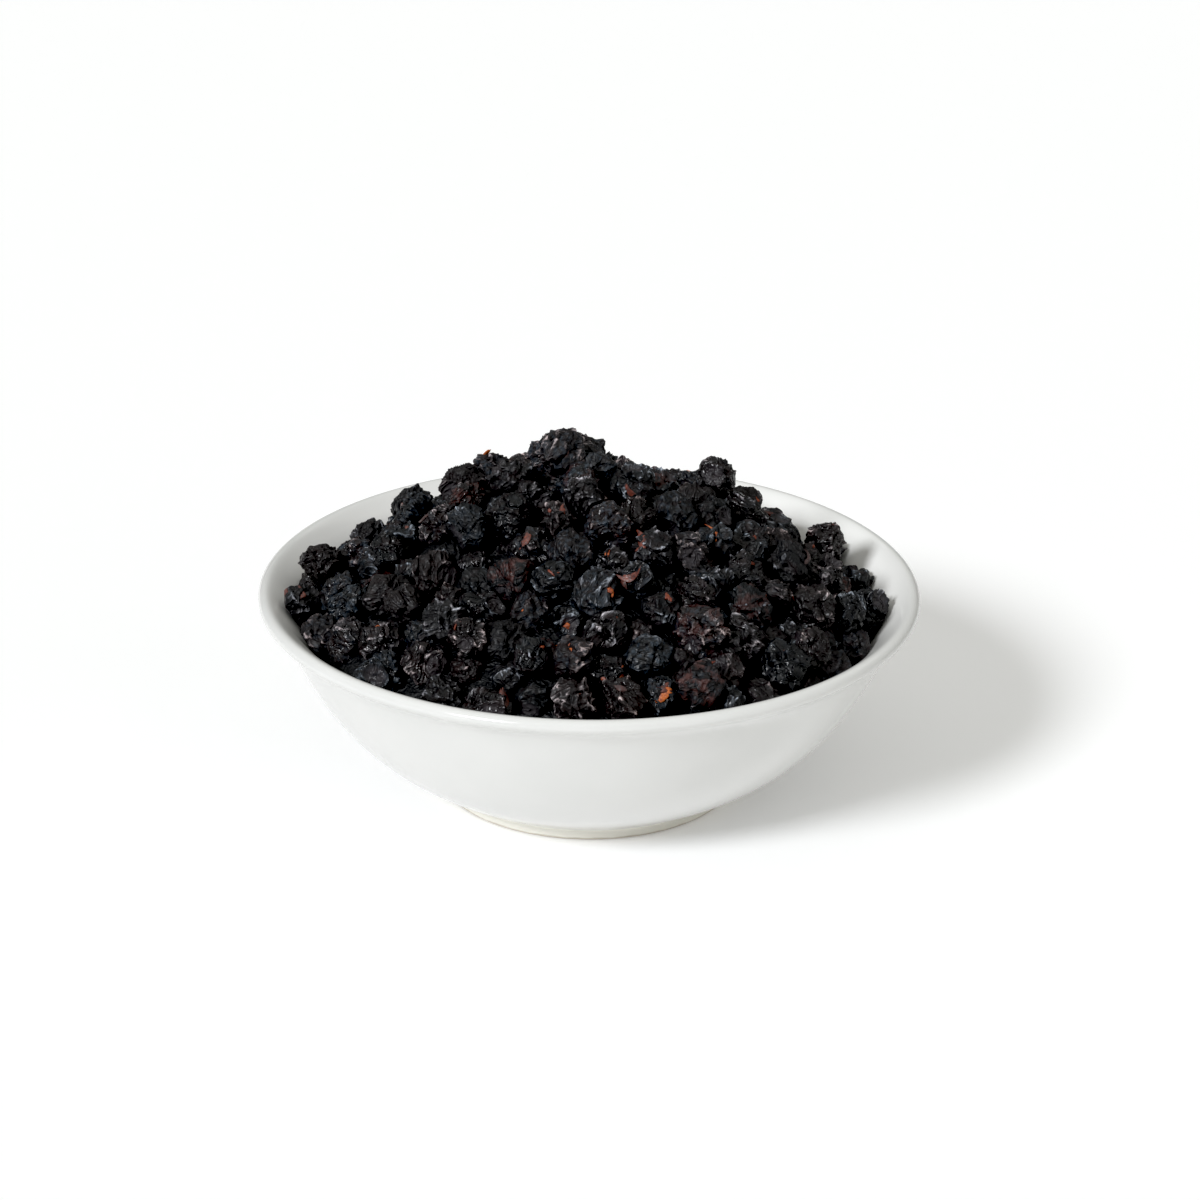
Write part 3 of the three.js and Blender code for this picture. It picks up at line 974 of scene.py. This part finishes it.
def worn_and_lit_share(tree, own, crests, mottle):
    """How much paler the skin is painted, as wear and painted highlight: most on ridges and crests, with
    painted shade where berries touch, and broken up by mottles and a fine grain.
    """
    crest = ranged(tree, crests, *CREST_RANGE)
    grain = patches(tree, own, *GRAIN_PATCHES)
    worn_lit = times(tree, ranged(tree, attribute(tree, "ridge"), *RIDGE_RANGE), times(tree, crest, grain))
    worn_lit = times(tree, worn_lit, ranged(tree, mottle, *BROKEN_RANGE))
    worn_lit = times(tree, worn_lit, ranged(tree, attribute(tree, "unshaded"), *SHADE_RANGE))
    worn_lit = calculate(tree, "MULTIPLY", worn_lit, WORN_LIT_GAIN, clamp=True)
    return calculate(tree, "POWER", worn_lit, WORN_LIT_POWER)


def skin_colour(tree, place, own, crests):
    """Bluer or browner skin, paler on ridges as wear and painted highlight, darker where berries touch as
    painted shade, with dust, red stains and browner crowns.
    """
    mottle = noise(tree, place, *MOTTLE_NOISE)
    tone = times(tree, attribute(tree, "tone"), TONE_SHARE)
    kind = ranged(tree, calculate(tree, "ADD", tone, times(tree, mottle, MOTTLE_SHARE)), *KIND_RANGE)
    skin = blended(tree, kind, SKIN_BLUE, SKIN_BROWN)
    worn_lit_skin = blended(tree, kind, WORN_LIT_BLUE, WORN_LIT_BROWN)
    colour = blended(tree, worn_and_lit_share(tree, own, crests, mottle), skin, worn_lit_skin)
    dust = patches(tree, place, *DUST_PATCHES)
    colour = blended(tree, times(tree, attribute(tree, "bloom"), dust), colour, DUST)
    stain = patches(tree, place, *STAIN_PATCHES)
    colour = blended(tree, times(tree, attribute(tree, "red"), stain), colour, RED_STAIN)
    return blended(tree, times(tree, attribute(tree, "crown"), CROWN_SHARE), colour, CROWN_BROWN)


def skin_material():
    """Blue-black dried skin: matt, paler on ridges as wear and painted highlight, dusty in places, with
    small glints.
    """
    material, tree, shader = new_material("dried_blueberry")
    place, own = own_place(tree), attribute(tree, "grain", "Vector")
    crests = crest_noise(tree, own)
    shine = ranged(tree, attribute(tree, "shine"), *SHINE_RANGE)
    gloss = times(tree, patches(tree, place, *GLOSS_PATCHES), shine)
    wrinkles = raised(tree, crests, CREST_RELIEF, CREST_STRENGTH)
    strength = ranged(tree, gloss, *PORE_STRENGTH)
    set_inputs(tree, shader, {
        "Base Color": skin_colour(tree, place, own, crests),
        "Roughness": ranged(tree, gloss, *GLOSS_ROUGHNESS),
        "Normal": raised(tree, noise(tree, own, *PORE_NOISE), PORE_RELIEF, strength, wrinkles),
        "Specular IOR Level": SKIN_SPECULAR,
    })
    return material


def flesh_material():
    """Dried flesh and torn skin, from dull red-brown to orange."""
    material, tree, shader = new_material("dried_flesh")
    place = own_place(tree)
    patch = times(tree, noise(tree, place, *FLESH_NOISE), FLESH_SHARE)
    mottle = calculate(tree, "ADD", attribute(tree, "tone"), patch)
    dull = blended(tree, ranged(tree, mottle, *RED_RANGE), FLESH_BROWN, FLESH_RED)
    set_inputs(tree, shader, {
        "Base Color": blended(tree, ranged(tree, mottle, *ORANGE_RANGE), dull, FLESH_ORANGE),
        "Roughness": patches(tree, place, *FLESH_GLOSS_PATCHES),
        "Normal": raised(tree, noise(tree, place, *FLESH_GRAIN_NOISE), FLESH_RELIEF, FLESH_STRENGTH),
    })
    return material


def below(tree, height, edges):
    """1 under the lower of two heights in millimetres, and 0 over the upper one."""
    low, high = edges
    return ranged(tree, height, low * MM, high * MM, 1.0, 0.0)


def porcelain_material():
    """White glaze with a soft wave in it, paler inside and at the foot as painted light, warmer at the
    foot, and the bare rough edge that the foot stands on.
    """
    material, tree, shader = new_material("glazed_porcelain")
    place = own_place(tree)
    height = add_node(tree, "ShaderNodeSeparateXYZ", {0: place}).outputs["Z"]
    ragged = times(tree, noise(tree, place, *RAGGED_NOISE), RAGGED_HEIGHT * MM)
    bare = below(tree, calculate(tree, "ADD", height, ragged), BARE_RANGE)
    glaze = blended(tree, patches(tree, place, *CLOUD_PATCHES), GLAZE_DARK, GLAZE_LIGHT)
    # Painted light: the inside and the foot are painted paler, and the foot warmer
    glaze = blended(tree, attribute(tree, "inside"), glaze, INSIDE_PAINTED_LIGHT)
    glaze = blended(tree, below(tree, height, FOOT_RANGE), glaze, FOOT_PAINTED_LIGHT)
    sheen = patches(tree, place, *SHEEN_PATCHES)
    set_inputs(tree, shader, {
        "Base Color": blended(tree, bare, glaze, BARE_CLAY),
        "Roughness": calculate(tree, "MAXIMUM", sheen, times(tree, bare, BARE_ROUGHNESS)),
        "Normal": raised(tree, noise(tree, place, *GLAZE_WAVE_NOISE), WAVE_RELIEF, WAVE_STRENGTH),
    })
    return material


def floor_material():
    """A pale matt floor that glows a little."""
    material, tree, shader = new_material("pale_floor")
    grain = patches(tree, own_place(tree), *FLOOR_PATCHES)
    set_inputs(tree, shader, {
        "Base Color": blended(tree, grain, FLOOR_TONE, FLOOR_GRAIN_TONE),
        "Roughness": FLOOR_ROUGHNESS,
        "Specular IOR Level": FLOOR_SPECULAR,
        "Emission Color": (1, 1, 1, 1),
        "Emission Strength": FLOOR_GLOW,
    })
    return material


# Camera, light and floor

def make_camera():
    """The camera of the photograph's view."""
    rise = math.radians(VIEW_ELEVATION)
    back = Vector((0, -math.cos(rise), math.sin(rise)))
    data = bpy.data.cameras.new("camera")
    data.lens, data.sensor_width = VIEW_LENS, VIEW_SENSOR
    data.clip_start, data.clip_end = VIEW_NEAREST * MM, VIEW_FURTHEST * MM
    camera = add_object("camera", data)
    camera.location = (Vector(VIEW_TARGET) + back * VIEW_DISTANCE) * MM
    camera.rotation_mode = "QUATERNION"
    roll = Quaternion((0, 0, 1), math.radians(VIEW_ROLL))
    camera.rotation_quaternion = (-back).to_track_quat("-Z", "Y") @ roll
    bpy.context.scene.camera = camera


def add_lamp(name, source, width, strength, tint):
    """A far lamp that shines from a direction and looks this many degrees wide."""
    data = bpy.data.lights.new(name, "SUN")
    data.color = tint
    data.angle = math.radians(width)
    data.energy = strength
    lamp = add_object(name, data)
    lamp.rotation_mode = "QUATERNION"
    lamp.rotation_quaternion = (-Vector(source)).to_track_quat("-Z", "Y")


def make_light():
    """The lamps, the dim surround, and a slightly raised black level."""
    for name, lamp in LAMPS.items():
        add_lamp(name, *lamp)
    world = bpy.data.worlds.new("surround")
    world.use_nodes = True
    world.node_tree.nodes["Background"].inputs["Color"].default_value = SURROUND
    bpy.context.scene.world = world
    view = bpy.context.scene.view_settings
    view.view_transform = "Standard"
    view.use_curve_mapping = True
    view.curve_mapping.black_level = [BLACK_LEVEL] * 3
    view.curve_mapping.update()


def make_floor():
    """The floor under the bowl."""
    half = FLOOR_SIZE * MM / 2
    mesh = bpy.data.meshes.new("floor")
    corners = [(x * half, y * half, -FLOOR_DROP * MM) for x, y in ((-1, -1), (1, -1), (1, 1), (-1, 1))]
    mesh.from_pydata(corners, [], [(0, 1, 2, 3)])
    mesh.materials.append(floor_material())
    floor = add_object("floor", mesh)


# The bowl and the heap

def make_bowl():
    """The bowl, which keeps how far each vertex lies inside the lip, for the paler inside colour that is
    painted light.
    """
    profile = bowl_profile()
    vertices, faces = turned(profile, BOWL_SIDES)
    piece = new_piece("porcelain_bowl", vertices, faces, porcelain_material(), "bowl")
    lip_end = len(foot_points()) + WALL_STEPS + NECK_STEPS + LIP_STEPS
    inside = np.interp(np.arange(len(profile)), (lip_end - INSIDE_LIGHT_CHANGE, lip_end), (0, 1))
    rings = np.repeat(inside[1:-1], BOWL_SIDES)
    keep_values(piece, "inside", np.concatenate([inside[:1], rings, inside[-1:]]))


def unshaded_share(points, own, centres, radii):
    """How clear of its neighbours each point of a berry lies, for painted shade where they touch: 0 where
    they touch, and 1 where it is clear of them.
    """
    far = np.linalg.norm(centres - centres[own], axis=1)
    near = np.flatnonzero((far > 0) & (far < radii + radii[own] + SHADE_REACH))
    if len(near) == 0:
        return np.ones(len(points))
    gaps = np.linalg.norm(points[:, None] - centres[near], axis=2) / radii[near]
    return np.clip((gaps.min(1) - SHADE_FROM) / (SHADE_TO - SHADE_FROM), 0, 1)


def shape_berries(berries):
    """Each berry's points, directions, triangles and values."""
    spheres = {steps: sphere_mesh(steps) for _, steps in FINENESS}
    centres = np.array([berry["centre"] for berry in berries])
    radii = np.array([berry["radius"] for berry in berries])
    shapes = []
    for index, berry in enumerate(berries):
        steps = next(steps for depth, steps in FINENESS if berry["depth"] < depth)
        sphere, triangles = spheres[steps]
        points, ways, ridge, crown, grain = berry_mesh(berry, index, sphere)
        # The skin is painted darker where berries touch, as painted shade, by how clear of them each point
        # lies
        clear = unshaded_share(points, index, centres, radii)
        values = {"ridge": ridge, "crown": crown, "unshaded": clear, "grain": grain, **berry_look(index)}
        shapes.append((points, ways, triangles, values))
    return shapes


def make_bits(name, kind, berries, shapes, material, top, random):
    """One piece of flakes on the outer berries."""
    sphere, triangles = sphere_mesh(kind["steps"])
    bits = []
    for _ in range(kind["count"]):
        spot, out = clear_spot(berries, shapes, kind["side"], random)
        lift = random.uniform(*kind["lift"]) if kind["lift"] else 0.0
        points = flake(sphere, spot - kind["sunk"] * out, out, kind, lift, random)
        bits.append((points, sphere, triangles, {"tone": random.uniform(*kind["tone"])}))
    join_forms(name, bits, material, top)


def make_heap(top):
    """All the berries, with the core under them and the bits on them."""
    skin, flesh = skin_material(), flesh_material()
    berries = settle_berries()
    shapes = shape_berries(berries)
    for layer, (least, most, pieces) in LAYERS.items():
        chosen = [shape for shape, berry in zip(shapes, berries) if least <= berry["depth"] < most]
        for part in range(pieces):
            join_forms(f"blueberries_{layer}_{part + 1}", chosen[part::pieces], skin, top)
    make_core(skin, top)
    random = np.random.default_rng(BIT_SEED)
    for name, kind in BITS.items():
        make_bits(name, kind, berries, shapes, flesh, top, random)


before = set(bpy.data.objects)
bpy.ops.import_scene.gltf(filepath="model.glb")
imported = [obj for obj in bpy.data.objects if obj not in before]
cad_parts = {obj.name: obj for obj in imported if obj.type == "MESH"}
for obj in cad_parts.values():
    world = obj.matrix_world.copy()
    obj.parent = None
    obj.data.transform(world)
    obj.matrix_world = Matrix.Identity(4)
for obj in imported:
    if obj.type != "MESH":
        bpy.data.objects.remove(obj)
cad_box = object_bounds()
make_camera()
make_light()
make_floor()
make_bowl()
make_heap(cad_box[1].z / MM - TOP_GAP)
